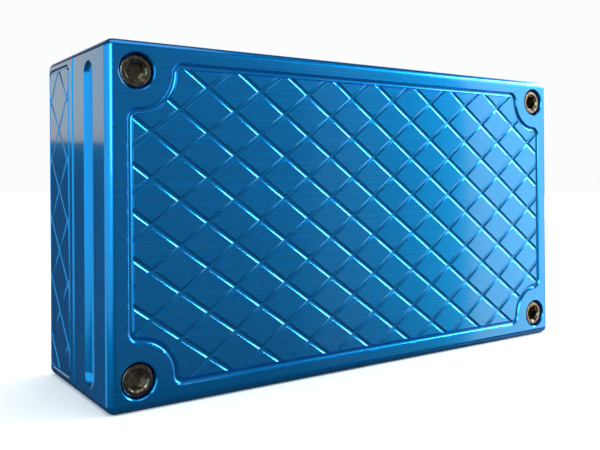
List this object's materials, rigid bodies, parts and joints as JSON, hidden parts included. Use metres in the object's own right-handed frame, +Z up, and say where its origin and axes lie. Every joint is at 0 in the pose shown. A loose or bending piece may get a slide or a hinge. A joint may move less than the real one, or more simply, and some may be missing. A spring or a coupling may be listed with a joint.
{
  "type": "single board computer in a heat-sink case",
  "caption": "Small single board computer in a milled, blue-anodised two-piece metal heat-sink case with a diamond-grooved face, held by socket head screws.",
  "frame": {"origin": "middle of the footprint, on the surface that the case stands on", "axes": "+X along the long side towards the memory card, -Y out of the face with the case screws, +Z up out of the side with the ports"},
  "size_m": [0.0724, 0.022, 0.04],
  "materials": {
    "anodised_case": "brushed, blue anodised",
    "case_screw": "black oxide",
    "board_screw": "bright",
    "circuit_board": "solder mask",
    "black_epoxy": "matte",
    "grey_silicone": "matte",
    "tinned_steel": "satin",
    "black_plastic": "moulded",
    "cream_plastic": "moulded",
    "tan_ceramic": "fired",
    "grey_ferrite": "matte",
    "clear_green_led": "clear"
  },
  "bodies": {
    "rear_assembly": {"rear_case_half": "anodised_case", "main_board": "circuit_board", "processor": "black_epoxy", "thermal_pad": "grey_silicone", "wireless_shield": "tinned_steel", "power_chip": "black_epoxy", "crystal": "tinned_steel", "status_led": "clear_green_led", "inductor_1": "grey_ferrite", "inductor_2": "grey_ferrite", "capacitor_1": "tan_ceramic", "capacitor_2": "tan_ceramic", "capacitor_3": "tan_ceramic", "capacitor_4": "tan_ceramic", "data_port_shell": "tinned_steel", "data_port_core": "black_plastic", "power_port_shell": "tinned_steel", "power_port_core": "black_plastic", "video_port_shell": "tinned_steel", "video_port_core": "black_plastic", "card_slot": "tinned_steel", "camera_connector_body": "cream_plastic", "pin_header": "black_plastic", "board_screw_1": "board_screw", "board_screw_2": "board_screw", "board_screw_3": "board_screw", "board_screw_4": "board_screw"},
    "front_assembly": {"front_case_half": "anodised_case", "case_screw_1": "case_screw", "case_screw_2": "case_screw", "case_screw_3": "case_screw", "case_screw_4": "case_screw"},
    "memory_card": {"memory_card": "black_plastic"},
    "camera_latch": {"camera_connector_latch": "black_plastic"}
  },
  "joints": [
    {"name": "front_half_lift", "type": "slide", "parent": "rear_assembly", "child": "front_assembly", "axis": [0, -1, 0], "range_m": [0, 0.03]},
    {"name": "memory_card_slide", "type": "slide", "parent": "rear_assembly", "child": "memory_card", "axis": [1, 0, 0], "range_m": [0, 0.018]},
    {"name": "camera_latch_slide", "type": "slide", "parent": "rear_assembly", "child": "camera_latch", "axis": [-1, 0, 0], "range_m": [0, 0.001]}
  ]
}
